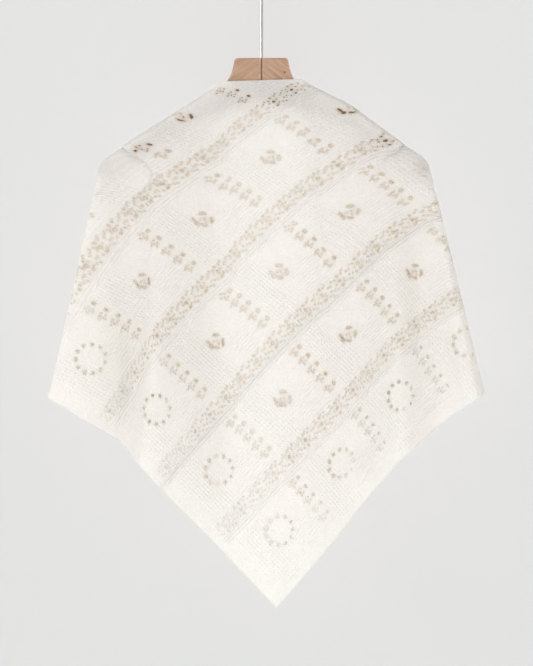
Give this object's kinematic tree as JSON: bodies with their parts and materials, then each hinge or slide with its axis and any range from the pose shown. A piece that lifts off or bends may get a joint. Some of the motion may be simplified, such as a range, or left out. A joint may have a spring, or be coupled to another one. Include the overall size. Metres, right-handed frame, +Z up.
{
  "type": "lace shawl on a wooden hanger",
  "caption": "Triangular lace shawl worn over a plain wooden hanger with a long wire hook: one back panel that ends in a point, and two front wings.",
  "frame": {"origin": "inner crest of the hook, which bears on a rail or a peg", "axes": "+Z up, +X to the right of one who looks at the shawl's back, and the back faces -Y"},
  "size_m": [0.5682, 0.0959, 0.8472],
  "materials": {
    "lace_cloth": "fine knitted lace, soft and slightly fuzzy",
    "beech": "clear satin",
    "hook_wire": "plain drawn wire"
  },
  "bodies": {
    "root": {"shawl_back": "lace_cloth", "shawl_front_left": "lace_cloth", "shawl_front_right": "lace_cloth", "hanger_wood_left": "beech", "hanger_wood_right": "beech", "hanger_hook": "hook_wire"}
  },
  "joints": []
}
